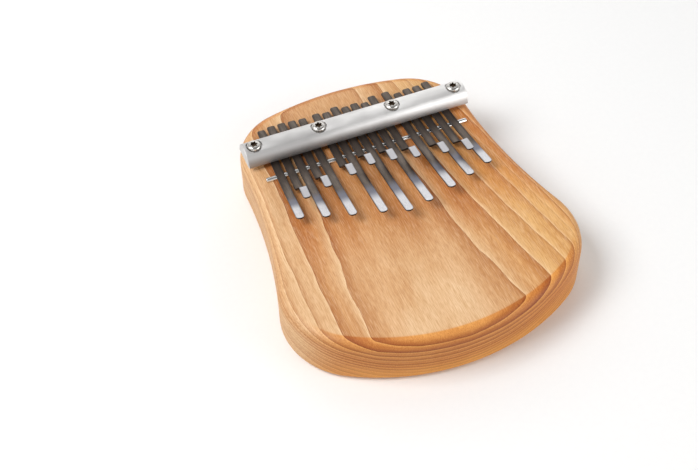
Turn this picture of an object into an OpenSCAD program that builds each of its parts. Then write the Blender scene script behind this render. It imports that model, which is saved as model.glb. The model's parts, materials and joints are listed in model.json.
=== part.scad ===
// Board mbira with seventeen plucked spring-steel tines under a half-round
// pressure bar. Millimetres, +Z up. The player sits at -Y: the tines point that
// way, from the narrow head at +Y over the wide end of the board.
// Origin: middle of the board's outline, on its underside.

/* [Board] */
// Length of the board, head to wide end
board_l = 167; // [160:0.5:180]
// Thickness of the board
board_t = 25; // [22:0.5:30]
// Width across the wide end
belly_w = 144; // [140:0.5:155]
// Width across the head
head_w = 119; // [117:0.5:126]
// Where the wide end is widest, measured back from the middle
belly_back = 38; // [34:0.5:42]
// Where the head is widest, measured forward from the middle
head_fore = 49; // [45:0.5:53]
// Corner radius of the wide end
belly_r = 35.5; // [30:0.5:40]
// Corner radius of the head
head_r = 31; // [26:0.5:34]
// Radius of the hollow waist
waist_r = 260; // [200:5:400]
// Rounding of the upper edge
top_round = 5; // [2:0.5:7]
// Rounding of the lower edge
base_round = 3; // [1:0.5:5]

/* [Bar and rods] */
// Distance of the pressure bar in front of the board's middle
bar_y = 50.7; // [49:0.1:53]
// Length of the pressure bar
bar_l = 116; // [110:0.5:118]
// Radius of the half-round section
bar_r = 7.3; // [6.5:0.1:8]
// Distance of the front rod in front of the board's middle
front_rod_y = 34.8; // [33:0.1:36]
// Distance of the rear rod in front of the board's middle
rear_rod_y = 58; // [57:0.1:60]
// Length of both rods
rod_l = 105; // [102:0.5:108]
// Diameter of both rods
rod_d = 2.5; // [2.2:0.1:3]
// How far the rods stand out of the board
rod_proud = 1.65; // [1.4:0.05:1.8]

/* [Screws] */
// Distance of the outer screws from the middle
screw_x_outer = 52.5; // [50:0.5:53.5]
// Distance of the inner screws from the middle
screw_x_inner = 19.3; // [19.2:0.05:19.4]
// Shank diameter
screw_d = 3.2; // [2.8:0.1:3.3]
// Length under the head
screw_l = 24; // [18:0.5:28]
// Head diameter
head_d = 6.8; // [6:0.1:7.2]
// Head height
head_h = 2.4; // [2:0.1:3]

/* [Tines] */
// Width of a tine
tine_w = 4; // [3.5:0.1:4.2]
// Thickness of a tine
tine_t = 0.8; // [0.6:0.05:1]
// Spacing of the seven middle tines
pitch_mid = 5.25; // [5.2:0.05:5.35]
// Spacing of the five tines on each side
pitch_side = 5.55; // [5.3:0.05:5.6]
// Spacing across the gap between two groups
pitch_gap = 7.7; // [7.5:0.05:8]
// Distance of the point that the tines fan out from, behind the front rod
fan_from = 900; // [700:50:2000]
// Reach of the longest long tine in front of the rod
long_reach = 49.5; // [46:0.5:52]
// Each next long tine is shorter by this much
long_step = 2.05; // [1.8:0.05:2.1]
// Slope of a long tine where it leaves the rod
long_slope = 2.5; // [1:0.5:4]
// Slope of a long tine at its tip
long_tip_slope = 8; // [5:0.5:9]
// Reach of the longest short tine in front of the rod
short_reach = 27.5; // [26:0.5:29]
// Each next short tine is shorter by this much
short_step = 1.33; // [1.1:0.01:1.35]
// Height of a short tine's raised tip over its flat
short_rise = 7.6; // [5:0.1:8.5]
// Slope of the ramp up to the raised tip
ramp_slope = 49; // [45:1:60]
// Length of the raised tip
short_tip = 6.8; // [6:0.1:7.5]
// Width of the raised tip
short_tip_w = 3.6; // [3:0.1:4]
// Mean line that the rear ends of the tines stand at
tail_y = 66; // [65:0.5:67]

/* [Hidden] */
$fn = 48;

// Free height that keeps a tine just off the rods it crosses
run_gap = 0.03;
// Slit between the clamped root and the sprung blade of a tine
root_slit = 0.16;
// Play of a rod in its groove and of a screw in its hole in the wood
seat_play = 0.01;
// Play of a screw in the pressure bar
bar_play = 0.2;
// Depth of the seat that a screw head sinks into, under the crown of the bar
seat_depth = 1.5;
seat_d = head_d + 1.2;
// Length of a screw's point
point_l = 4;
// Depth and size of the six-lobed socket in a screw head
socket_depth = 1.5;
socket_r = 1.45;
lobe_r = 0.48;
// Rounding of a tine's corners
tail_corner = 0.9;
long_corner = 1.6;
short_corner = 1.1;
// Number of straight steps in a long tine's curve
curve_steps = 8;
// Steps in each arc of the outline: head end, head corner, waist, wide corner, wide end
arc_steps = [4, 9, 5, 10, 5];
// Steps in the rounded upper and lower edges
top_steps = 4;
base_steps = 3;

tine_count = 17;
middle = (tine_count + 1) / 2;
side_first = 4;
screw_xs = [-screw_x_outer, -screw_x_inner, screw_x_inner, screw_x_outer];
// Where tuning has left each tine's rear end, against the mean line
tail_shift = [0, 1, 1, 0.5, 0, 0.5, -0.5, 1.5, -0.5, 0, -1.5, 1.5, 1.5, -1.5, -0.5, -0.5, 0.5];

rod_z = board_t + rod_proud - rod_d / 2;
tine_z = board_t + rod_proud + run_gap;
bar_z = tine_z + tine_t;
seat_z = bar_z + bar_r - seat_depth;
ramp_run = short_rise / tan(ramp_slope);

// Outline of the board: five arcs on each side, each tangent to the next
half_l = board_l / 2;
head_c = [head_w / 2 - head_r, head_fore];
belly_c = [belly_w / 2 - belly_r, -belly_back];
front_r = end_radius(head_c[0], half_l - head_fore, head_r);
back_r = end_radius(belly_c[0], half_l - belly_back, belly_r);
front_c = [0, half_l - front_r];
back_c = [0, back_r - half_l];
waist_c = meeting_point(head_c, head_r + waist_r, belly_c, belly_r + waist_r);
head_from = heading(head_c - front_c);
head_to = heading(waist_c - head_c);
belly_from = heading(waist_c - belly_c);
belly_to = heading(belly_c - back_c);

tine_names = [for (i = [1:tine_count]) str("tine_", i < 10 ? "0" : "", i)];

function heading(v) = atan2(v[1], v[0]);

// Radius of the arc that crosses the middle line squarely and holds a corner arc inside it
function end_radius(corner_x, reach, corner_r) =
    (corner_x ^ 2 + reach ^ 2 - corner_r ^ 2) / (2 * (reach - corner_r));

// Outer meeting point of two circles
function meeting_point(c1, r1, c2, r2) =
    let (d = norm(c2 - c1), u = (c2 - c1) / d, along = (r1 ^ 2 - r2 ^ 2 + d ^ 2) / (2 * d))
    c1 + along * u + sqrt(r1 ^ 2 - along ^ 2) * [-u[1], u[0]];

// Points of an arc, without its last one
function arc(c, r, from, to, steps) =
    [for (k = [0:steps - 1]) let (a = from + (to - from) * k / steps) c + r * [cos(a), sin(a)]];

// Right half of the outline, from the head end round to the wide end, drawn in by inset
function half_outline(inset) = concat(
    arc(front_c, front_r - inset, 90, head_from, arc_steps[0]),
    arc(head_c, head_r - inset, head_from, head_to, arc_steps[1]),
    arc(waist_c, waist_r + inset, head_to + 180, belly_from + 180, arc_steps[2]),
    arc(belly_c, belly_r - inset, belly_from, belly_to, arc_steps[3]),
    arc(back_c, back_r - inset, belly_to, -90, arc_steps[4]),
    [[0, inset - half_l]]
);

function outline(inset) =
    let (half = half_outline(inset), last = len(half) - 1)
    concat(half, [for (k = [last - 1:-1:1]) [-half[k][0], half[k][1]]]);

// The board's rings from the underside up: how far each is drawn in, and its height
base_rings = [for (k = [0:base_steps]) let (a = 90 * k / base_steps)
    [base_round * (1 - sin(a)), base_round * (1 - cos(a))]];
top_rings = [for (k = [0:top_steps]) let (a = 90 * k / top_steps)
    [top_round * (1 - cos(a)), board_t - top_round * (1 - sin(a))]];
rings = concat(base_rings, top_rings);

// Which tine is which: odd ones are long, even ones short, and lengths fall away by turns
function from_middle(i) = i - middle;
function is_long(i) = i % 2 == 1;
function long_rank(i) = let (m = from_middle(i) / 2) m > 0 ? 2 * m - 1 : -2 * m;
function short_rank(i) = 7 - abs(from_middle(i)) + (from_middle(i) < 0 ? 1 : 0);
function reach_of(i) = is_long(i)
    ? long_reach - long_step * long_rank(i)
    : short_reach - short_step * short_rank(i);
function tine_x(i) =
    let (m = from_middle(i), n = abs(m))
    n < side_first ? m * pitch_mid
        : sign(m) * ((side_first - 1) * pitch_mid + pitch_gap + (n - side_first) * pitch_side);
function fan_angle(i) = atan(tine_x(i) / fan_from);

// Mitred upper point over a bend between two slopes, both rising towards the tip
function over_bend(p, slope_1, slope_2) =
    let (n1 = [sin(slope_1), cos(slope_1)], n2 = [sin(slope_2), cos(slope_2)])
    p + tine_t * (n1 + n2) / (1 + n1 * n2);

// Side view of a long tine: an arc whose slope grows from the rod to the tip
function long_side(reach) =
    let (
        r = reach / (sin(long_tip_slope) - sin(long_slope)),
        slopes = [for (k = [0:curve_steps]) long_slope + (long_tip_slope - long_slope) * k / curve_steps],
        lower = [for (a = slopes) r * [sin(long_slope) - sin(a), cos(long_slope) - cos(a)]]
    )
    concat(lower, [for (k = [curve_steps:-1:0]) lower[k] + tine_t * [sin(slopes[k]), cos(slopes[k])]]);

// Side view of a short tine: flat, ramp, raised tip
function short_side(reach) =
    let (
        heel = [0, 0],
        bend = [short_tip + ramp_run - reach, 0],
        crest = [short_tip - reach, short_rise],
        tip = [-reach, short_rise]
    )
    [heel, bend, crest, tip, tip + [0, tine_t], over_bend(crest, ramp_slope, 0),
     over_bend(bend, 0, ramp_slope), heel + [0, tine_t]];

// Strip seen from above, from y_low to y_high, with rounded corners at its low end
module strip(width, y_low, y_high, corner) {
    translate([-width / 2, y_low + corner])
        square([width, y_high - y_low - corner]);
    translate([corner - width / 2, y_low])
        square([width - 2 * corner, y_high - y_low]);
    for (side = [-1, 1])
        translate([side * (width / 2 - corner), y_low + corner])
            circle(r = corner);
}

// Puts a tine in its place over the front rod, turned by its fan angle
module at_tine(i) {
    translate([tine_x(i), front_rod_y, tine_z])
        rotate([0, 0, fan_angle(i)])
            children();
}

// Solid of a side view drawn in Y and Z, over the full width of a tine
module side_solid(side) {
    translate([-tine_w, 0, 0])
        rotate([90, 0, 90])
            linear_extrude(2 * tine_w)
                polygon(side);
}

module rod_cylinder(diameter, y) {
    translate([-rod_l / 2, y, rod_z])
        rotate([0, 90, 0])
            cylinder(d = diameter, h = rod_l);
}

module board() {
    count = len(outline(0));
    points = [for (ring = rings) for (p = outline(ring[0])) [p[0], p[1], ring[1]]];
    top = count * (len(rings) - 1);
    under = [for (i = [count - 1:-1:0]) i];
    over = [for (i = [0:count - 1]) top + i];
    sides = [for (k = [0:len(rings) - 2]) for (i = [0:count - 1]) let (j = (i + 1) % count)
        [(k + 1) * count + j, (k + 1) * count + i, k * count + i, k * count + j]];
    color("#d29a5b")
        difference() {
            polyhedron(points, concat([under], sides, [over]), convexity = 4);
            rod_cylinder(rod_d + 2 * seat_play, front_rod_y);
            rod_cylinder(rod_d + 2 * seat_play, rear_rod_y);
            for (x = screw_xs)
                translate([x, bar_y, seat_z - screw_l - 1])
                    cylinder(d = screw_d + 2 * seat_play, h = screw_l);
        }
}

module pressure_bar() {
    color("#b9b9b8")
        difference() {
            translate([-bar_l / 2, bar_y, bar_z])
                rotate([90, 0, 90])
                    linear_extrude(bar_l)
                        intersection() {
                            circle(r = bar_r);
                            translate([-bar_r, 0])
                                square([2 * bar_r, bar_r]);
                        }
            for (x = screw_xs)
                translate([x, bar_y, bar_z - 1]) {
                    cylinder(d = screw_d + 2 * bar_play, h = bar_r + 2);
                    translate([0, 0, seat_z - bar_z + 1])
                        cylinder(d = seat_d, h = bar_r);
                }
        }
}

module screw() {
    dome_r = 2 * head_d;
    rim_drop = dome_r - sqrt(dome_r ^ 2 - (head_d / 2) ^ 2);
    difference() {
        intersection() {
            cylinder(d = head_d, h = head_h);
            translate([0, 0, head_h - dome_r])
                sphere(r = dome_r);
        }
        translate([0, 0, head_h - socket_depth])
            linear_extrude(socket_depth + rim_drop) {
                circle(r = socket_r);
                for (k = [0:5])
                    rotate(60 * k)
                        translate([socket_r, 0])
                            circle(r = lobe_r);
            }
    }
    translate([0, 0, point_l - screw_l])
        cylinder(d = screw_d, h = screw_l - point_l);
    translate([0, 0, -screw_l])
        cylinder(d1 = screw_d / 4, d2 = screw_d, h = point_l);
}

module bar_screws() {
    color("#8f8b84")
        for (x = screw_xs)
            translate([x, bar_y, seat_z])
                screw();
}

module front_rod() {
    color("#d8d8d6")
        rod_cylinder(rod_d, front_rod_y);
}

module rear_rod() {
    color("#d8d8d6")
        rod_cylinder(rod_d, rear_rod_y);
}

// The clamped part of a tine, from the front rod back under the bar to its free rear end
module tine_root(i) {
    color("#5b5550")
        at_tine(i)
            linear_extrude(tine_t)
                rotate(180)
                    strip(tine_w, front_rod_y - tail_y - tail_shift[i - 1], -root_slit, tail_corner);
}

// The sprung part of a tine, from the front rod to the tip
module tine_blade(i) {
    reach = reach_of(i);
    color("#6a6663")
        at_tine(i)
            intersection() {
                side_solid(is_long(i) ? long_side(reach) : short_side(reach));
                translate([0, 0, -1])
                    linear_extrude(short_rise + 5) {
                        if (is_long(i)) {
                            strip(tine_w, -reach, 1, long_corner);
                        } else {
                            strip(short_tip_w, -reach, 1, short_corner);
                            strip(tine_w, short_tip + ramp_run - reach, 1, 0.4);
                        }
                    }
            }
}

board();
pressure_bar();
bar_screws();
front_rod();
rear_rod();
for (i = [1:tine_count]) {
    tine_root(i);
    tine_blade(i);
}
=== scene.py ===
import json
import math

import bmesh
import bpy
from mathutils import Matrix, Vector


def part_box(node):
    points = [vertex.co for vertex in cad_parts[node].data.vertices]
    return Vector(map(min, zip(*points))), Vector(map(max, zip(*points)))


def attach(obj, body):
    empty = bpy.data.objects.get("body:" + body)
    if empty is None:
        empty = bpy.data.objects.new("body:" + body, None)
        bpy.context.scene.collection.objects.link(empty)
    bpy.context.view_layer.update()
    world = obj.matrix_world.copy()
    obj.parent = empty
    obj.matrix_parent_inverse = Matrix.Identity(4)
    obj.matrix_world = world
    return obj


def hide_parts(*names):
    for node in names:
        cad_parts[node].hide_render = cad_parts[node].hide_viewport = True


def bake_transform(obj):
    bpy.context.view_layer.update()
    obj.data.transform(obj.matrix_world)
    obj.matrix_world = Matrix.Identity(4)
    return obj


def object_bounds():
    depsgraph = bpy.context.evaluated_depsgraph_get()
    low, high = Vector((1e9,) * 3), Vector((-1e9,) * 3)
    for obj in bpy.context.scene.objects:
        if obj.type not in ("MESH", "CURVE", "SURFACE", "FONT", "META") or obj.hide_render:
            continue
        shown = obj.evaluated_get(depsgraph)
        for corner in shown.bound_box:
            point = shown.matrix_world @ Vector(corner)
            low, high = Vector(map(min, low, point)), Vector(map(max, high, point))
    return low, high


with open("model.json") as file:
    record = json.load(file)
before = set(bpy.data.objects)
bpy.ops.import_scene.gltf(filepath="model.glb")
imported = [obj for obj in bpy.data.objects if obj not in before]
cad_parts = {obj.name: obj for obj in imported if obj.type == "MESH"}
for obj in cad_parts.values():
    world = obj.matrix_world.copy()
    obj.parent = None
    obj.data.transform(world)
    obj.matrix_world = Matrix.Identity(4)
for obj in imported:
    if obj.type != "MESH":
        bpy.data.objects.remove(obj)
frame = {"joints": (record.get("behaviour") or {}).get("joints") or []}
cad_low, cad_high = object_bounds()

MM = 0.001

# The board: its box comes from the frame, its corners and roundings are these
HEAD_WIDTH = 119 * MM
HEAD_FORE = 49 * MM
BELLY_BACK = 38 * MM
BELLY_RADIUS = 35.5 * MM
HEAD_RADIUS = 31 * MM
WAIST_RADIUS = 260 * MM
TOP_ROUND = 5 * MM
BASE_ROUND = 3 * MM
GROOVE_GAP = 0.06 * MM
FACE_INSET = 1.5 * MM

# The pressure bar, its screws and the rods
BAR_CHAMFER = 0.35 * MM
BAR_EDGE = 0.12 * MM
SEAT_DIAMETER = 8 * MM
BAR_PLAY = 0.2 * MM
INNER_SCREW_X = 19.3 * MM
SCREW_TURNS = (0.0, 22.0, 41.0, 9.0)
SHANK_DIAMETER = 3.2 * MM
POINT_LENGTH = 4 * MM
HEAD_DIAMETER = 6.8 * MM
HEAD_HEIGHT = 2.4 * MM
HEAD_RIM = 0.95 * MM
HEAD_SHOULDER = 1.25 * MM
SCREW_LENGTH = 24 * MM
SOCKET_RADIUS = 1.45 * MM
LOBE_RADIUS = 0.48 * MM
LOBE_HOLLOW = 0.12 * MM
SOCKET_DEPTH = 1.5 * MM
SOCKET_MOUTH = 0.32 * MM
ROD_EDGE = 0.25 * MM

# The tines
TINE_WIDTH = 4 * MM
TINE_EDGE = 0.13 * MM
FAN_FROM = 900 * MM
LONG_SLOPES = (2.5, 8.0)
RAMP_SLOPE = 49.0
SHORT_TIP = 6.8 * MM
SHORT_TIP_WIDTH = 3.6 * MM
BEND_RADIUS = 1.1 * MM
TAIL_CORNER = 0.9 * MM
LONG_CORNER = 1.7 * MM
SHORT_CORNER = 1.1 * MM
PATH_STEP = 1.5 * MM
LONG_POLISH_FROM = 0.50
LONG_POLISH_OVER = 0.34
SHORT_POLISH = 0.82
TINE_COUNT = 17


# ---------------------------------------------------------------- mesh tools

def finish_mesh(name, bm, sharp_angle=32):
    """Makes an object of a bmesh, smooth except over edges sharper than sharp_angle."""
    bmesh.ops.recalc_face_normals(bm, faces=bm.faces)
    for face in bm.faces:
        face.smooth = True
    for edge in bm.edges:
        if len(edge.link_faces) == 2:
            edge.smooth = edge.calc_face_angle(0.0) < math.radians(sharp_angle)
    mesh = bpy.data.meshes.new(name)
    bm.to_mesh(mesh)
    bm.free()
    piece = bpy.data.objects.new(name, mesh)
    bpy.context.scene.collection.objects.link(piece)
    return piece


def loft(name, rings, sharp_angle=32):
    """Skins closed rings of equally many points, and caps both ends."""
    bm = bmesh.new()
    loops = [[bm.verts.new(p) for p in ring] for ring in rings]
    count = len(loops[0])
    for low, high in zip(loops, loops[1:]):
        for k in range(count):
            bm.faces.new((low[k], low[(k + 1) % count], high[(k + 1) % count], high[k]))
    bm.faces.new(loops[0][::-1])
    bm.faces.new(loops[-1])
    return finish_mesh(name, bm, sharp_angle)


def lathe(name, profile, centre, axis="Z", steps=64, sharp_angle=32):
    """Turns (radius, height) points about an axis through centre."""
    turn = Matrix.Rotation(math.radians(90), 3, "Y") if axis == "X" else Matrix.Identity(3)
    angles = [2 * math.pi * k / steps for k in range(steps)]
    rings = [
        [centre + turn @ Vector((r * math.cos(a), r * math.sin(a), h)) for a in angles]
        for r, h in profile
    ]
    return loft(name, rings, sharp_angle)


def apply_modifiers(piece, sharp_angle=32):
    """Replaces the piece's mesh by what its modifiers make of it."""
    shaped = bpy.data.meshes.new_from_object(
        piece.evaluated_get(bpy.context.evaluated_depsgraph_get())
    )
    bm = bmesh.new()
    bm.from_mesh(shaped)
    bpy.data.meshes.remove(shaped)
    name = piece.name
    bpy.data.objects.remove(piece)
    return finish_mesh(name, bm, sharp_angle)


def cut_away(piece, tools, sharp_angle=32):
    """Subtracts the tools from the piece, and removes them."""
    for tool in tools:
        cut = piece.modifiers.new("cut", "BOOLEAN")
        cut.operation = "DIFFERENCE"
        cut.solver = "EXACT"
        cut.object = tool
    piece = apply_modifiers(piece, sharp_angle)
    for tool in tools:
        bpy.data.objects.remove(tool)
    return piece


def dress(piece, material):
    """Gives a piece its material."""
    piece.data.materials.clear()
    piece.data.materials.append(material)


# ---------------------------------------------------------------- node tools

class Graph:
    """A material's node tree, with short calls for the nodes used here."""

    def __init__(self, name):
        self.material = bpy.data.materials.new(name)
        self.material.use_nodes = True
        self.tree = self.material.node_tree
        self.shader = self.tree.nodes["Principled BSDF"]

    def node(self, kind, inputs, **settings):
        made = self.tree.nodes.new("ShaderNode" + kind)
        for key, value in settings.items():
            setattr(made, key, value)
        for key, value in inputs.items():
            self.plug(value, made.inputs[key])
        return made

    def plug(self, value, socket):
        if isinstance(value, bpy.types.NodeSocket):
            self.tree.links.new(value, socket)
        else:
            socket.default_value = value

    def set(self, **inputs):
        for key, value in inputs.items():
            self.plug(value, self.shader.inputs[key.replace("_", " ")])

    def math(self, operation, a, b=0.0, clamp=False):
        made = self.node("Math", {0: a, 1: b}, operation=operation, use_clamp=clamp)
        return made.outputs[0]

    def add(self, a, b):
        return self.math("ADD", a, b)

    def times(self, a, b):
        return self.math("MULTIPLY", a, b)

    def power(self, a, b):
        return self.math("POWER", a, b)

    def object_mm(self):
        """Place on the object, in millimetres."""
        where = self.node("TexCoord", {}).outputs["Object"]
        return self.scaled(where, (1000, 1000, 1000))

    def normal(self):
        """The surface's direction, in the object's own frame."""
        return self.node("TexCoord", {}).outputs["Normal"]

    def scaled(self, vector, factors):
        made = self.node("VectorMath", {0: vector, 1: factors}, operation="MULTIPLY")
        return made.outputs[0]

    def shifted(self, vector, offset):
        return self.node("VectorMath", {0: vector, 1: offset}, operation="ADD").outputs[0]

    def split(self, vector):
        return self.node("SeparateXYZ", {0: vector}).outputs

    def noise(self, vector, factors, detail=2.0, roughness=0.5):
        """Smooth noise from 0 to 1; factors are its frequencies along X, Y and Z."""
        inputs = {
            "Vector": self.scaled(vector, factors),
            "Scale": 1.0,
            "Detail": detail,
            "Roughness": roughness,
        }
        return self.node("TexNoise", inputs).outputs["Fac"]

    def remap(self, value, low, high, to_low=0.0, to_high=1.0, smooth=False):
        """Carries low..high over to to_low..to_high, and holds the value at either end."""
        inputs = {
            "Value": value,
            "From Min": low,
            "From Max": high,
            "To Min": to_low,
            "To Max": to_high,
        }
        kind = "SMOOTHSTEP" if smooth else "LINEAR"
        return self.node("MapRange", inputs, interpolation_type=kind, clamp=True).outputs[0]

    def mix(self, share, a, b, blend="MIX"):
        made = self.node("Mix", {}, data_type="RGBA", blend_type=blend)
        self.plug(share, made.inputs[0])
        self.plug(a, made.inputs[6])
        self.plug(b, made.inputs[7])
        return made.outputs[2]

    def darken(self, share, tone, factor):
        return self.mix(share, tone, factor, blend="MULTIPLY")

    def ramp(self, value, stops):
        made = self.node("ValToRGB", {"Fac": value})
        elements = made.color_ramp.elements
        while len(elements) > 1:
            elements.remove(elements[-1])
        elements[0].position, elements[0].color = stops[0]
        for position, color in stops[1:]:
            elements.new(position).color = color
        return made.outputs["Color"]

    def bump(self, height, distance, strength):
        inputs = {"Height": height, "Distance": distance, "Strength": strength}
        self.plug(self.node("Bump", inputs).outputs[0], self.shader.inputs["Normal"])


# ---------------------------------------------------------------- materials

def wood():
    """Flat-sawn board: growth rings about a pith line high above it, cut by its faces."""
    g = Graph("wood_flat_sawn")
    where = g.object_mm()
    x, y, z = g.split(where)

    # Height of the growth ring through each point, measured where the ring lies lowest.
    # The rings are bowed about the pith, steeper near the left side, and tilted along the board.
    pith_x, ring_radius, front_y = -9.0, 210.0, -68.0
    across = g.add(x, -pith_x)
    bow = g.times(g.times(across, across), 0.5 / ring_radius)
    past_left = g.math("MAXIMUM", g.add(g.times(x, -1.0), -42.0), 0.0)
    steeper = g.times(past_left, 0.135)
    slope = g.remap(x, 5.0, 50.0, 0.012, 0.057, smooth=True)
    tilt = g.times(slope, g.add(y, -front_y))
    sway = g.times(g.add(g.noise(where, (0.03, 0.014, 0.03), detail=1.0), -0.5), 1.0)
    wobble = g.times(g.add(g.noise(where, (0.10, 0.050, 0.10), detail=1.0), -0.5), 0.65)
    risen = g.add(g.add(bow, steeper), tilt)
    height = g.add(g.add(z, g.times(risen, -1.0)), g.add(sway, wobble))

    # Each ring ends below in dark late wood over a sharp edge, where the next one starts pale.
    # Height of its edge, strength of the line there, brownness of the ring:
    rings = [
        (-16.0, 0.5, 0.2), (-12.0, 0.7, 0.4), (-8.5, 0.8, 0.1), (-5.0, 0.8, 0.5), (-2.0, 1.0, 0.1),
        (1.0, 0.8, 0.0), (3.6, 0.7, 0.1), (5.7, 1.0, 0.3), (7.5, 0.7, 0.7), (9.4, 1.0, 0.8),
        (11.0, 0.6, 0.1), (12.6, 1.0, 0.2), (15.5, 1.0, 0.2), (18.6, 1.0, 1.15), (22.2, 1.0, 0.8),
        (24.6, 0.0, 0.0), (27.4, 0.0, 0.0),
    ]
    lowest, highest, count = rings[0][0], rings[-1][0], len(rings) - 1
    edges = [
        ((ring[0] - lowest) / (highest - lowest), (k / count,) * 3 + (1,))
        for k, ring in enumerate(rings)
    ]
    order = g.times(g.split(g.ramp(g.remap(height, lowest, highest), edges))[0], count)
    kinds = [
        ((k + 0.5) / count, (ring[1], after[1], ring[2], 1))
        for k, (ring, after) in enumerate(zip(rings, rings[1:]))
    ]
    middle = g.times(g.add(g.math("FLOOR", order), 0.5), 1 / count)
    late_force, early_force, browned = g.split(g.ramp(middle, kinds))
    youth = g.math("FRACT", order)
    age = g.math("SUBTRACT", 1.0, youth)
    brown = g.times(browned, g.power(age, 0.35))
    line = g.times(g.power(age, 12.0), late_force)
    late = g.times(g.power(age, 3.0), late_force)
    stripe = g.times(g.power(age, 1.3), late_force)
    early = g.times(g.power(youth, 12.0), early_force)

    # Thin layers inside the rings, fibres, pores and slow changes of tone
    in_ring = g.node("CombineXYZ", {0: g.times(x, 0.05), 1: g.times(y, 0.012), 2: height})
    layers = g.noise(in_ring.outputs[0], (1.0, 1.0, 1.1), detail=2.0)
    fibre = g.noise(where, (2.0, 0.08, 2.0), detail=3.0, roughness=0.7)
    fleck = g.remap(g.noise(where, (3.6, 0.24, 3.6), detail=1.0), 0.46, 0.64)
    elsewhere = g.shifted(where, (40, 15, 7))
    glint = g.remap(g.noise(elsewhere, (3.2, 0.20, 3.2), detail=1.0), 0.50, 0.66)
    cloud = g.noise(where, (0.05, 0.02, 0.05), detail=2.0)

    # The ground tone: yellower to the right; and painted shade under the tines, deeper in the middle of
    # the board's length
    pale, mid, yellow = (0.88, 0.640, 0.405, 1), (0.82, 0.550, 0.310, 1), (0.88, 0.540, 0.190, 1)
    tone = g.mix(g.remap(cloud, 0.3, 0.7), mid, pale)
    tone = g.mix(g.remap(x, 10.0, 55.0, 0.0, 0.75, smooth=True), tone, yellow)
    tone = g.darken(brown, tone, (0.82, 0.64, 0.46, 1))
    inboard = g.times(g.remap(x, -56.0, -48.0), g.remap(y, 66.0, 46.0))
    # Painted shade: the wood under and between the tines is darkened as if in their shadow
    painted_tine_shade = g.times(g.remap(y, -40.0, -2.0, smooth=True), inboard)
    tone = g.darken(painted_tine_shade, tone, (0.86, 0.66, 0.45, 1))

    # The figure over it
    tone = g.darken(g.remap(layers, 0.35, 0.68, 0.0, 0.8), tone, (0.82, 0.70, 0.56, 1))
    tone = g.darken(g.times(late, 0.7), tone, (0.72, 0.54, 0.36, 1))
    tone = g.darken(g.times(line, 0.4), tone, (0.64, 0.50, 0.40, 1))
    tone = g.mix(g.times(early, 0.60), tone, (0.98, 0.76, 0.49, 1))
    tone = g.darken(g.remap(fibre, 0.34, 0.66), tone, (0.87, 0.78, 0.67, 1))
    tone = g.darken(g.times(fleck, 0.7), tone, (0.80, 0.68, 0.56, 1))
    tone = g.mix(g.times(glint, 0.18), tone, (1.0, 0.76, 0.50, 1))

    # End grain drinks the oil and comes out deeper as soon as a face turns towards it
    side = g.scaled(g.normal(), (1, 1, 0))
    lean = g.node("VectorMath", {0: side}, operation="LENGTH").outputs["Value"]
    facing = g.split(g.node("VectorMath", {0: side}, operation="NORMALIZE").outputs[0])[1]
    wide_end = g.remap(facing, -0.35, -1.0, smooth=True)
    head_end = g.remap(facing, 0.30, 1.0, 0.0, 0.5, smooth=True)
    end = g.times(g.remap(lean, 0.02, 0.14, smooth=True), g.add(wide_end, head_end))
    # Painted shade: every steep face is darkened as it turns upright, whatever its grain
    tone = g.darken(g.remap(lean, 0.3, 1.0), tone, (0.81, 0.77, 0.70, 1))
    tone = g.darken(end, tone, (1.0, 0.690, 0.310, 1))
    tone = g.darken(g.times(end, stripe), tone, (0.62, 0.46, 0.34, 1))
    low_end = g.times(end, g.remap(z, 11.0, 1.0, 0.0, 0.5))
    tone = g.mix(low_end, tone, (0.84, 0.390, 0.070, 1))

    g.set(Base_Color=tone, IOR=1.46)
    g.set(Roughness=g.remap(fibre, 0.2, 0.8, 0.46, 0.64))
    g.bump(g.add(g.times(fibre, 0.6), g.times(fleck, -0.4)), 0.00008, 0.5)
    return g.material


def aluminium():
    """Satin bar stock, with drawing lines along X."""
    g = Graph("aluminium_satin")
    where = g.object_mm()
    lines = g.noise(where, (0.05, 9.0, 9.0), detail=3.0, roughness=0.6)
    haze = g.noise(where, (0.06, 0.10, 0.10), detail=2.0)
    # Cloudy duller and cleaner patches, plus painted light: the bar is made steadily brighter towards
    # the right (+X)
    haze_and_painted_light = g.add(haze, g.times(g.split(where)[0], 0.006))
    dull_and_shaded, clean_and_lit = (0.62, 0.61, 0.605, 1), (0.97, 0.96, 0.95, 1)
    tone = g.mix(g.remap(haze_and_painted_light, 0.2, 0.8), dull_and_shaded, clean_and_lit)
    tone = g.mix(g.remap(lines, 0.35, 0.75, 0.0, 0.18), tone, (0.62, 0.61, 0.60, 1))
    # Painted shade: both long sides are darkened as they turn to face front or back
    outward = g.math("ABSOLUTE", g.split(g.normal())[1])
    tone = g.darken(g.remap(outward, 0.72, 0.97, smooth=True), tone, (0.60, 0.58, 0.57, 1))
    g.set(Base_Color=tone, Metallic=1.0)
    g.set(Roughness=g.remap(lines, 0.2, 0.8, 0.46, 0.60))
    g.bump(lines, 0.00003, 0.35)
    return g.material


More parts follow.
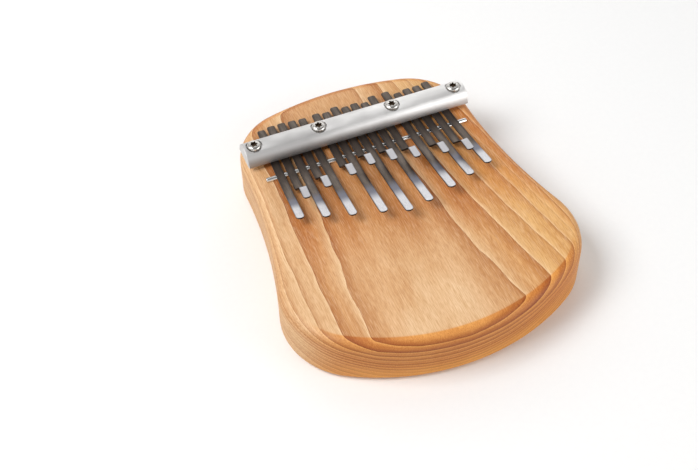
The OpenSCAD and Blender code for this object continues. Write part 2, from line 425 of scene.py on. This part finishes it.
def spring_steel():
    """Tempered strip, dark where the heat has left it and ground bright towards its tip."""
    g = Graph("spring_steel_tempered")
    where = g.object_mm()
    y = g.split(where)[1]
    polish = g.node("Attribute", {}, attribute_name="polish").outputs["Fac"]
    across = g.math("ABSOLUTE", g.node("Attribute", {}, attribute_name="across").outputs["Fac"])
    grain = g.noise(where, (5.0, 0.15, 5.0), detail=3.0, roughness=0.65)
    stain = g.noise(where, (0.35, 0.12, 0.35), detail=2.0)

    # Heat-darkened steel: browner in patches and darker along its rims; towards the bar, painted shade
    # for the bar's shadow
    dark = g.mix(g.remap(stain, 0.3, 0.7), (0.135, 0.112, 0.095, 1), (0.240, 0.200, 0.170, 1))
    dark = g.mix(g.remap(grain, 0.3, 0.7, 0.0, 0.35), dark, (0.05, 0.042, 0.04, 1))
    rim = g.remap(g.add(across, g.times(g.add(grain, -0.5), 0.7)), 0.35, 0.95)
    dark = g.mix(g.times(rim, 0.6), dark, (0.045, 0.037, 0.034, 1))
    # Painted shadow of the bar, from in front of the rod to under the bar
    painted_bar_shadow = g.times(g.remap(y, 16.0, 42.0, smooth=True), g.remap(y, 60.0, 52.0))
    dark = g.darken(painted_bar_shadow, dark, (0.34, 0.31, 0.30, 1))

    # Through a blued stretch to the ground tip; the edges are darkened, and the upright sides get
    # painted shade
    blued = g.mix(g.remap(polish, 0.0, 0.45, smooth=True), dark, (0.20, 0.20, 0.235, 1))
    silver = g.mix(g.remap(grain, 0.3, 0.75), (0.74, 0.73, 0.75, 1), (0.50, 0.50, 0.52, 1))
    ground = g.math("ADD", polish, g.times(g.add(grain, -0.5), 0.3), clamp=True)
    tone = g.mix(g.remap(ground, 0.48, 0.92, smooth=True), blued, silver)
    tone = g.mix(g.remap(across, 0.82, 1.0, 0.0, 0.5), tone, (0.08, 0.08, 0.085, 1))
    # Painted shade: faces that turn upright, the strip's sides and ends, are made near black
    level = g.math("ABSOLUTE", g.split(g.normal())[2])
    tone = g.mix(g.remap(level, 0.55, 0.20), tone, (0.045, 0.04, 0.042, 1))
    g.set(Base_Color=tone, Metallic=1.0)
    g.set(Roughness=g.remap(grain, 0.2, 0.8, 0.27, 0.42))
    g.bump(grain, 0.00002, 0.4)
    return g.material


def bright_steel(name, tone, roughness):
    """Drawn or turned steel with fine marks round it."""
    g = Graph(name)
    where = g.object_mm()
    marks = g.noise(where, (3.0, 3.0, 3.0), detail=3.0, roughness=0.7)
    worn = tuple(0.72 * c for c in tone[:3]) + (1,)
    g.set(Base_Color=g.mix(g.remap(marks, 0.35, 0.75, 0.0, 0.6), tone, worn), Metallic=1.0)
    g.set(Roughness=g.remap(marks, 0.2, 0.8, roughness, roughness + 0.14))
    g.bump(marks, 0.00001, 0.3)
    return g.material


# ---------------------------------------------------------------- the board

def arc(centre, radius, start, stop, steps):
    """Points of an arc in the plane, without its last one; angles in radians."""
    angles = [start + (stop - start) * k / steps for k in range(steps)]
    return [centre + radius * Vector((math.cos(a), math.sin(a))) for a in angles]


def heading(v):
    return math.atan2(v.y, v.x)


def end_radius(corner_x, reach, corner_r):
    """Radius of the arc that crosses the middle line squarely and holds a corner arc inside it."""
    return (corner_x ** 2 + reach ** 2 - corner_r ** 2) / (2 * (reach - corner_r))


def meeting_point(c1, r1, c2, r2):
    """Outer meeting point of two circles."""
    d = (c2 - c1).length
    u = (c2 - c1) / d
    along = (r1 ** 2 - r2 ** 2 + d ** 2) / (2 * d)
    return c1 + along * u + math.sqrt(r1 ** 2 - along ** 2) * Vector((-u.y, u.x))


def outline(low, high, inset):
    """The board seen from above, drawn in by inset: five tangent arcs on each side."""
    half = (high.y - low.y) / 2
    head_c = Vector((HEAD_WIDTH / 2 - HEAD_RADIUS, HEAD_FORE))
    belly_c = Vector((high.x - BELLY_RADIUS, -BELLY_BACK))
    front_r = end_radius(head_c.x, half - HEAD_FORE, HEAD_RADIUS)
    back_r = end_radius(belly_c.x, half - BELLY_BACK, BELLY_RADIUS)
    front_c = Vector((0, half - front_r))
    back_c = Vector((0, back_r - half))
    waist_c = meeting_point(head_c, HEAD_RADIUS + WAIST_RADIUS, belly_c, BELLY_RADIUS + WAIST_RADIUS)
    head_from = heading(head_c - front_c)
    head_to = heading(waist_c - head_c)
    belly_from = heading(waist_c - belly_c)
    belly_to = heading(belly_c - back_c)
    right = (
        arc(front_c, front_r - inset, math.pi / 2, head_from, 24)
        + arc(head_c, HEAD_RADIUS - inset, head_from, head_to, 28)
        + arc(waist_c, WAIST_RADIUS + inset, head_to + math.pi, belly_from + math.pi, 18)
        + arc(belly_c, BELLY_RADIUS - inset, belly_from, belly_to, 32)
        + arc(back_c, back_r - inset, belly_to, -math.pi / 2, 24)
        + [Vector((0, inset - half))]
    )
    return right + [Vector((-p.x, p.y)) for p in right[-2:0:-1]]


def board(material):
    low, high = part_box("board")
    steps = 8
    levels = [(BASE_ROUND + FACE_INSET, low.z)]
    for k in range(steps + 1):
        a = math.pi / 2 * k / steps
        levels.append((BASE_ROUND * (1 - math.sin(a)), low.z + BASE_ROUND * (1 - math.cos(a))))
    for k in range(steps + 1):
        a = math.pi / 2 * k / steps
        levels.append((TOP_ROUND * (1 - math.cos(a)), high.z - TOP_ROUND * (1 - math.sin(a))))
    levels.append((TOP_ROUND + FACE_INSET, high.z))
    rings = [[(p.x, p.y, z) for p in outline(low, high, inset)] for inset, z in levels]
    piece = loft("board_body", rings)
    grooves = []
    for rod in ("front_rod", "rear_rod"):
        rod_low, rod_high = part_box(rod)
        middle = (rod_low + rod_high) / 2
        radius = (rod_high.z - rod_low.z) / 2 + GROOVE_GAP
        half = (rod_high.x - rod_low.x) / 2 + GROOVE_GAP
        grooves.append(lathe(rod + "_groove", [(radius, -half), (radius, half)], middle, axis="X"))
    shank = SHANK_DIAMETER / 2
    pilots = [
        lathe(f"pilot_{k}", [(shank, -SCREW_LENGTH - MM), (shank, 0)], place)
        for k, place in enumerate(screw_seats())
    ]
    piece = cut_away(piece, grooves + pilots)
    dress(piece, material)
    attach(piece, "base")
    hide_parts("board")


# ---------------------------------------------------------------- bar, rods and screws

def screw_seats():
    """Where the underside of each screw head rests, from the frame's screws."""
    low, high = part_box("bar_screws")
    bar_low, bar_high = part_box("pressure_bar")
    height = high.z - HEAD_HEIGHT
    outer = high.x - HEAD_DIAMETER / 2
    y = (bar_low.y + bar_high.y) / 2
    return [Vector((x, y, height)) for x in (-outer, -INNER_SCREW_X, INNER_SCREW_X, outer)]


def pressure_bar(material):
    low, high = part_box("pressure_bar")
    radius = high.z - low.z
    y = (low.y + high.y) / 2
    steps = 72

    def section(x, inset):
        """The half round at x, with its arc drawn in by inset and its flat side kept."""
        reach = radius - inset
        lift = math.asin(inset / reach)
        angles = [lift + (math.pi - 2 * lift) * k / steps for k in range(steps + 1)]
        return [(x, y + reach * math.cos(a), low.z + reach * math.sin(a)) for a in angles]

    rings = [
        section(low.x, BAR_CHAMFER),
        section(low.x + BAR_CHAMFER, 0.0),
        section(high.x - BAR_CHAMFER, 0.0),
        section(high.x, BAR_CHAMFER),
    ]
    piece = loft("bar_half_round", rings)
    tools = []
    for k, seat in enumerate(screw_seats()):
        hole = SHANK_DIAMETER / 2 + BAR_PLAY
        tools.append(lathe(f"seat_{k}", [(SEAT_DIAMETER / 2, 0), (SEAT_DIAMETER / 2, radius)], seat))
        tools.append(lathe(f"hole_{k}", [(hole, -2 * radius), (hole, MM)], seat, steps=32))
    piece = cut_away(piece, tools)
    edge = piece.modifiers.new("edge", "BEVEL")
    edge.width = BAR_EDGE
    edge.segments = 2
    edge.limit_method = "ANGLE"
    edge.angle_limit = math.radians(40)
    piece = apply_modifiers(piece)
    dress(piece, material)
    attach(piece, "base")
    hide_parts("pressure_bar")


def rods(material):
    for name, node in (("rod_front", "front_rod"), ("rod_rear", "rear_rod")):
        low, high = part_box(node)
        radius = (high.z - low.z) / 2
        half = (high.x - low.x) / 2
        shoulder = 0.28 * ROD_EDGE
        profile = [
            (radius - ROD_EDGE, -half),
            (radius - shoulder, shoulder - half),
            (radius, ROD_EDGE - half),
        ]
        profile += [(r, -h) for r, h in profile[::-1]]
        piece = lathe(name, profile, (low + high) / 2, axis="X", sharp_angle=50)
        dress(piece, material)
        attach(piece, "base")
        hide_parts(node)


def six_lobed(centre, grow, z):
    """Ring of points round a six-lobed socket, grown outwards, at height z over centre."""
    points = []
    for k in range(96):
        a = 2 * math.pi * k / 96
        swell = 0.5 + 0.5 * math.cos(6 * a)
        r = SOCKET_RADIUS - LOBE_HOLLOW + (LOBE_RADIUS + LOBE_HOLLOW) * swell ** 1.3 + grow
        points.append(centre + Vector((r * math.cos(a), r * math.sin(a), z)))
    return points


def screw_profile():
    """A pan-head screw from its point to its crown, as (radius, height over its seat)."""
    radius = HEAD_DIAMETER / 2
    shank = SHANK_DIAMETER / 2
    profile = [
        (0.2 * MM, -SCREW_LENGTH),
        (shank, POINT_LENGTH - SCREW_LENGTH),
        (shank, -0.3 * MM),
        (shank + 0.3 * MM, 0),
        (radius - 0.25 * MM, 0),
        (radius, 0.25 * MM),
        (radius, HEAD_RIM),
    ]
    dome = HEAD_HEIGHT - 1.1 * MM
    for step in range(1, 9):
        a = math.pi / 2 * step / 8
        profile.append((radius - HEAD_SHOULDER * (1 - math.cos(a)), HEAD_RIM + dome * math.sin(a)))
    profile.append((radius - 1.6 * MM, HEAD_HEIGHT - 0.06 * MM))
    profile.append((0.5 * MM, HEAD_HEIGHT))
    return profile


def socket_rings(seat, turned):
    """The six-lobed hole as rings from its floor to above the crown, turned in degrees."""
    rings = [
        six_lobed(seat, -LOBE_HOLLOW, HEAD_HEIGHT - SOCKET_DEPTH),
        six_lobed(seat, 0.0, HEAD_HEIGHT - 0.25 * MM),
        six_lobed(seat, SOCKET_MOUTH, HEAD_HEIGHT + 0.07 * MM),
        six_lobed(seat, SOCKET_MOUTH, HEAD_HEIGHT + MM),
    ]
    spin = Matrix.Rotation(math.radians(turned), 3, "Z")
    return [[seat + spin @ (p - seat) for p in ring] for ring in rings]


def screws(material, socket_shade_material):
    for k, (seat, turned) in enumerate(zip(screw_seats(), SCREW_TURNS), 1):
        piece = lathe(f"screw_{k}", screw_profile(), seat, steps=72)
        piece = cut_away(piece, [loft(f"socket_{k}", socket_rings(seat, turned))])
        dress(piece, material)
        piece.data.materials.append(socket_shade_material)
        # Painted shade: the faces inside the socket get the dark steel, for the shade in the recess
        for face in piece.data.polygons:
            away = face.center - seat
            inside = away.xy.length < SOCKET_RADIUS + LOBE_RADIUS and away.z > 0.5 * MM
            if inside and away.z < HEAD_HEIGHT - 0.2 * MM:
                face.material_index = 1
        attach(piece, "base")
        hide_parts("bar_screws")


# ---------------------------------------------------------------- the tines

def rounded_path(corners, radius, turns):
    """Follows straight legs between corners, with an arc at each bend. Gives (point, slope) pairs."""
    path = [(corners[0], heading(corners[1] - corners[0]))]
    for before, corner, after in zip(corners, corners[1:], corners[2:]):
        slope_in, slope_out = heading(corner - before), heading(after - corner)
        turn = slope_out - slope_in
        back = radius * math.tan(abs(turn) / 2)
        start = corner - back * (corner - before).normalized()
        side = math.copysign(1, turn)
        centre = start + side * radius * Vector((-math.sin(slope_in), math.cos(slope_in)))
        for k in range(turns + 1):
            slope = slope_in + turn * k / turns
            point = centre - side * radius * Vector((-math.sin(slope), math.cos(slope)))
            path.append((point, slope))
    path.append((corners[-1], heading(corners[-1] - corners[-2])))
    return path


def finer(path, step):
    """Adds points to a path so that none are further apart than step."""
    fine = []
    for (p, a), (q, b) in zip(path, path[1:]):
        count = max(1, math.ceil((q - p).length / step))
        fine += [(p.lerp(q, k / count), a + (b - a) * k / count) for k in range(count)]
    return fine + [path[-1]]


def corner_width(half_width, corner, distance):
    """Half width of a strip with rounded corners, at a distance from its end."""
    if distance >= corner:
        return half_width
    return half_width - corner + math.sqrt(max(0.0, corner ** 2 - (corner - distance) ** 2))


def end_steps(corner):
    """Distances from a strip's end where its rounded corners need points."""
    return [corner * (1 - math.cos(math.pi / 2 * k / 8)) for k in range(9)]


def tine_path(is_long, tail, reach, rise):
    """Underside of a tine as (point, slope), from the rear end to the tip: X runs along it, Y is up."""
    if is_long:
        first, last = (math.radians(a) for a in LONG_SLOPES)
        radius = reach / (math.sin(last) - math.sin(first))
        path = [(Vector((-tail, 0)), 0.0), (Vector((0, 0)), 0.0)]
        for k in range(1, 25):
            a = first + (last - first) * k / 24
            point = radius * Vector((math.sin(a) - math.sin(first), math.cos(first) - math.cos(a)))
            path.append((point, a))
        return path
    run = rise / math.tan(math.radians(RAMP_SLOPE))
    corners = [
        Vector((-tail, 0)),
        Vector((reach - SHORT_TIP - run, 0)),
        Vector((reach - SHORT_TIP, rise)),
        Vector((reach, rise)),
    ]
    return rounded_path(corners, BEND_RADIUS, 6)


def share_of(value):
    """Holds a value between 0 and 1."""
    return min(1.0, max(0.0, value))


def cross_section(half, thickness):
    """A strip's section with broken edges, as (across, up), from its lower right corner round."""
    c, t = TINE_EDGE, thickness
    right = [(half, c), (half, t - c), (half - c, t)]
    left = [(c - half, t), (-half, t - c), (-half, c)]
    return right + left + [(c - half, 0), (half - c, 0)]


def polish_at(along, is_long, reach):
    """How far a tine has been ground bright, at a distance in front of the rod."""
    if is_long:
        return share_of((along / reach - LONG_POLISH_FROM) / LONG_POLISH_OVER)
    return SHORT_POLISH * share_of((along - (reach - SHORT_TIP - 1.2 * MM)) / MM)


def tine_rings(path, is_long, thickness, reach):
    """Cross-sections of a tine along its path, and how far each has been ground bright."""
    total = [0.0]
    for (p, _), (q, _) in zip(path, path[1:]):
        total.append(total[-1] + (q - p).length)
    wanted = set(round(s, 7) for s in total)
    corner = LONG_CORNER if is_long else SHORT_CORNER
    wanted |= {round(s, 7) for s in end_steps(TAIL_CORNER)}
    wanted |= {round(total[-1] - s, 7) for s in end_steps(corner)}
    rings, polish = [], []
    k = 0
    for s in sorted(wanted):
        while k < len(total) - 2 and s > total[k + 1]:
            k += 1
        share = share_of((s - total[k]) / (total[k + 1] - total[k]))
        (p, a), (q, b) = path[k], path[k + 1]
        point, slope = p.lerp(q, share), a + (b - a) * share
        half = TINE_WIDTH / 2
        if not is_long:
            narrowing = share_of(point.y / (1.5 * MM))
            half -= (TINE_WIDTH - SHORT_TIP_WIDTH) / 2 * narrowing
        half = min(corner_width(half, TAIL_CORNER, s), corner_width(half, corner, total[-1] - s))
        half = max(half, TINE_EDGE * 2)
        up = Vector((-math.sin(slope), math.cos(slope)))
        rings.append([
            Vector((x, -(point.x + h * up.x), point.y + h * up.y))
            for x, h in cross_section(half, thickness)
        ])
        polish.append(polish_at(point.x, is_long, reach))
    return rings, polish


def tine(number, material):
    name = f"tine_{number:02d}"
    joint = next(j for j in frame["joints"] if j["child"] == name)
    x, rod_y, _ = joint["pos_m"]
    root_low, root_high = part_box(name + "_root")
    blade_low, blade_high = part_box(name + "_blade")
    thickness = root_high.z - root_low.z
    is_long = number % 2 == 1
    fan = math.atan(x / FAN_FROM)
    reach = (rod_y - blade_low.y) / math.cos(fan)
    tail = (root_high.y - rod_y) / math.cos(fan)
    rise = blade_high.z - blade_low.z - thickness
    path = finer(tine_path(is_long, tail, reach, rise), PATH_STEP)
    rings, polish = tine_rings(path, is_long, thickness, reach)
    place = Matrix.Translation((x, rod_y, root_low.z)) @ Matrix.Rotation(fan, 4, "Z")
    piece = loft(name + "_strip", [[place @ p for p in ring] for ring in rings])
    # For the steel: how bright each section is, and which side of the strip each point is on
    sides = (1, 1, 1, -1, -1, -1, -1, 1)
    ground = piece.data.attributes.new("polish", "FLOAT", "POINT")
    ground.data.foreach_set("value", [value for value in polish for _ in sides])
    across = piece.data.attributes.new("across", "FLOAT", "POINT")
    across.data.foreach_set("value", [side for _ in polish for side in sides])
    dress(piece, material)
    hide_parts(name + "_root", name + "_blade")
    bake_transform(piece)


# ---------------------------------------------------------------- floor, light and camera

def floor():
    """A round sheet of pale paper that ends before the softboxes."""
    bm = bmesh.new()
    bmesh.ops.create_circle(bm, cap_ends=True, segments=96, radius=1.15)
    piece = finish_mesh("floor", bm)
    g = Graph("floor_paper")
    grain = g.noise(g.object_mm(), (0.4, 0.4, 0.4), detail=2.0)
    g.set(Base_Color=g.mix(grain, (0.90, 0.90, 0.90, 1), (0.93, 0.93, 0.925, 1)), Roughness=0.8)
    piece.data.materials.append(g.material)
    piece.location.z = -0.0002


def soft_light(name, azimuth, elevation, distance, size, power):
    """A square softbox that looks at the middle of the board."""
    a, e = math.radians(azimuth), math.radians(elevation)
    away = Vector((math.sin(a) * math.cos(e), -math.cos(a) * math.cos(e), math.sin(e)))
    data = bpy.data.lights.new(name, "AREA")
    data.size = size
    data.energy = power
    light = bpy.data.objects.new(name, data)
    light.location = (cad_low + cad_high) / 2 + away * distance
    light.rotation_mode = "QUATERNION"
    light.rotation_quaternion = away.to_track_quat("Z", "Y")
    bpy.context.scene.collection.objects.link(light)


def studio_world():
    """Pale walls round the table, and a dimmer ceiling."""
    world = bpy.data.worlds.new("studio")
    world.use_nodes = True
    nodes, links = world.node_tree.nodes, world.node_tree.links
    back = nodes["Background"]
    back.inputs["Color"].default_value = (1.0, 0.99, 0.98, 1)
    upward = nodes.new("ShaderNodeSeparateXYZ")
    links.new(nodes.new("ShaderNodeTexCoord").outputs["Generated"], upward.inputs[0])
    glow = nodes.new("ShaderNodeMapRange")
    levels = {"From Min": 0.5, "From Max": 0.62, "To Min": 0.80, "To Max": 0.20}
    for socket, value in levels.items():
        glow.inputs[socket].default_value = value
    links.new(upward.outputs[2], glow.inputs["Value"])
    links.new(glow.outputs[0], back.inputs["Strength"])
    bpy.context.scene.world = world


def lights():
    soft_light("key", -98, 51, 1.1, 0.6, 9.8)
    soft_light("fill", 50, 16, 1.2, 0.9, 6.2)
    soft_light("back", 159, 42, 1.3, 1.1, 2.9)


def camera():
    """The photograph's view: where it stands round the board, and what it looks at."""
    azimuth, elevation, roll = (math.radians(a) for a in (-21.32, 48.74, -1.50))
    distance, focal = 0.5916, 63.14
    aim = Vector((-0.0215, 0.0084, 0.0))
    back = Vector((
        math.sin(azimuth) * math.cos(elevation),
        -math.cos(azimuth) * math.cos(elevation),
        math.sin(elevation),
    ))
    right = Vector((math.cos(azimuth), math.sin(azimuth), 0))
    up = back.cross(right)
    turned_right = right * math.cos(roll) + up * math.sin(roll)
    turned_up = up * math.cos(roll) - right * math.sin(roll)
    data = bpy.data.cameras.new("camera")
    data.lens = focal
    data.sensor_width = 36.0
    data.clip_start, data.clip_end = 0.01, 20.0
    eye = bpy.data.objects.new("camera", data)
    axes = Matrix((turned_right, turned_up, back)).transposed()
    eye.matrix_world = Matrix.Translation(aim + back * distance) @ axes.to_4x4()
    bpy.context.scene.collection.objects.link(eye)
    bpy.context.scene.camera = eye
    bpy.context.scene.view_settings.view_transform = "Standard"


board(wood())
pressure_bar(aluminium())
rods(bright_steel("rod_bright_drawn", (0.86, 0.86, 0.85, 1), 0.14))
screws(
    bright_steel("screw_turned", (0.66, 0.64, 0.61, 1), 0.20),
    # Dark steel painted into the sockets as their shade
    bright_steel("screw_socket_shade", (0.16, 0.115, 0.08, 1), 0.45),
)
strip_steel = spring_steel()
for tine_number in range(1, TINE_COUNT + 1):
    tine(tine_number, strip_steel)
floor()
studio_world()
lights()
camera()
